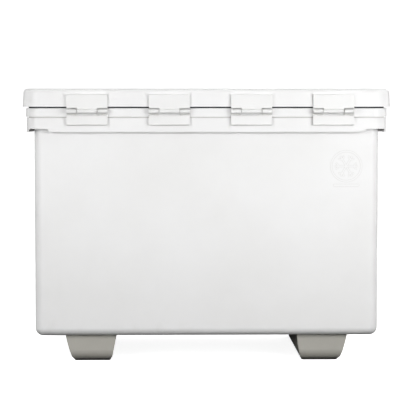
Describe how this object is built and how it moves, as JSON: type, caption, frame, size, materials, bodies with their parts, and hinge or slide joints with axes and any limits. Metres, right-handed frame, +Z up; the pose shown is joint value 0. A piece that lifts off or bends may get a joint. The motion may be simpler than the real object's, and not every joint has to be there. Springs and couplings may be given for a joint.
{
  "type": "wheeled ice chest",
  "caption": "Insulated ice chest with a hinged lid, rubber T-latches, two floor runners, front transport wheels, a fold-down tow bail and a drain plug.",
  "frame": {"origin": "on the floor under the middle of the chest", "axes": "+Z up, +X along the chest's length, hinges on the -Y side, wheels, latches and tow bail on the +Y side"},
  "size_m": [0.726, 0.534, 0.544],
  "materials": {
    "shell_white": "satin",
    "liner_white": "satin",
    "foam": "matte",
    "runner_grey": "matte",
    "dark_rubber": "matte",
    "fitting_white": "satin",
    "steel": "satin",
    "strap_rubber": "matte",
    "tyre_black": "matte",
    "fitting_grey": "matte",
    "bail_metal": "satin"
  },
  "bodies": {
    "tub": {"outer_tub": "shell_white", "tub_foam": "foam", "inner_liner": "liner_white", "rim_collar": "shell_white", "runner_left": "runner_grey", "runner_right": "runner_grey", "runner_pads": "dark_rubber", "runner_screws": "steel", "hinge_tub_leaf_1": "fitting_white", "hinge_tub_leaf_2": "fitting_white", "hinge_tub_leaf_3": "fitting_white", "hinge_tub_leaf_4": "fitting_white", "hinge_pins": "steel", "axle": "steel", "axle_caps": "fitting_grey", "drain_bushing": "fitting_grey", "drain_washer": "dark_rubber", "drain_nut": "fitting_grey", "latch_keeper_left": "fitting_white", "latch_keeper_right": "fitting_white", "keeper_screws": "steel", "bail_bracket_left": "fitting_grey", "bail_bracket_right": "fitting_grey", "bail_bracket_screws": "steel", "bail_pins": "steel"},
    "lid": {"lid_shell": "shell_white", "lid_foam": "foam", "lid_liner": "liner_white", "lid_gasket": "dark_rubber", "hinge_lid_leaf_1": "fitting_white", "hinge_lid_leaf_2": "fitting_white", "hinge_lid_leaf_3": "fitting_white", "hinge_lid_leaf_4": "fitting_white", "latch_bracket_left": "fitting_white", "latch_bracket_right": "fitting_white", "latch_bracket_screws": "steel", "latch_pins": "steel"},
    "latch_left": {"latch_strap_left": "strap_rubber"},
    "latch_right": {"latch_strap_right": "strap_rubber"},
    "wheel_left": {"tyre_left": "tyre_black", "wheel_hub_left": "fitting_grey"},
    "wheel_right": {"tyre_right": "tyre_black", "wheel_hub_right": "fitting_grey"},
    "tow_bail": {"bail_frame": "bail_metal", "bail_grip": "dark_rubber"},
    "drain_stopper": {"drain_plug": "fitting_grey", "drain_plug_ring": "dark_rubber"}
  },
  "joints": [
    {"name": "lid_hinge", "type": "hinge", "parent": "tub", "child": "lid", "pos_m": [0, -0.2627, 0.4995], "axis": [1, 0, 0], "range_deg": [0, 100]},
    {"name": "latch_left_pivot", "type": "hinge", "parent": "lid", "child": "latch_left", "pos_m": [-0.24, 0.2619, 0.5256], "axis": [1, 0, 0], "range_deg": [0, 150]},
    {"name": "latch_right_pivot", "type": "hinge", "parent": "lid", "child": "latch_right", "pos_m": [0.24, 0.2619, 0.5256], "axis": [1, 0, 0], "range_deg": [0, 150]},
    {"name": "wheel_left_spin", "type": "hinge", "parent": "tub", "child": "wheel_left", "pos_m": [-0.315, 0.178, 0.056], "axis": [1, 0, 0], "continuous": true},
    {"name": "wheel_right_spin", "type": "hinge", "parent": "tub", "child": "wheel_right", "pos_m": [0.315, 0.178, 0.056], "axis": [1, 0, 0], "continuous": true},
    {"name": "tow_bail_pivot", "type": "hinge", "parent": "tub", "child": "tow_bail", "pos_m": [0, 0.253, 0.43], "axis": [1, 0, 0], "range_deg": [0, 140]},
    {"name": "drain_pull", "type": "slide", "parent": "tub", "child": "drain_stopper", "axis": [0, 1, 0], "range_m": [0, 0.06]}
  ]
}
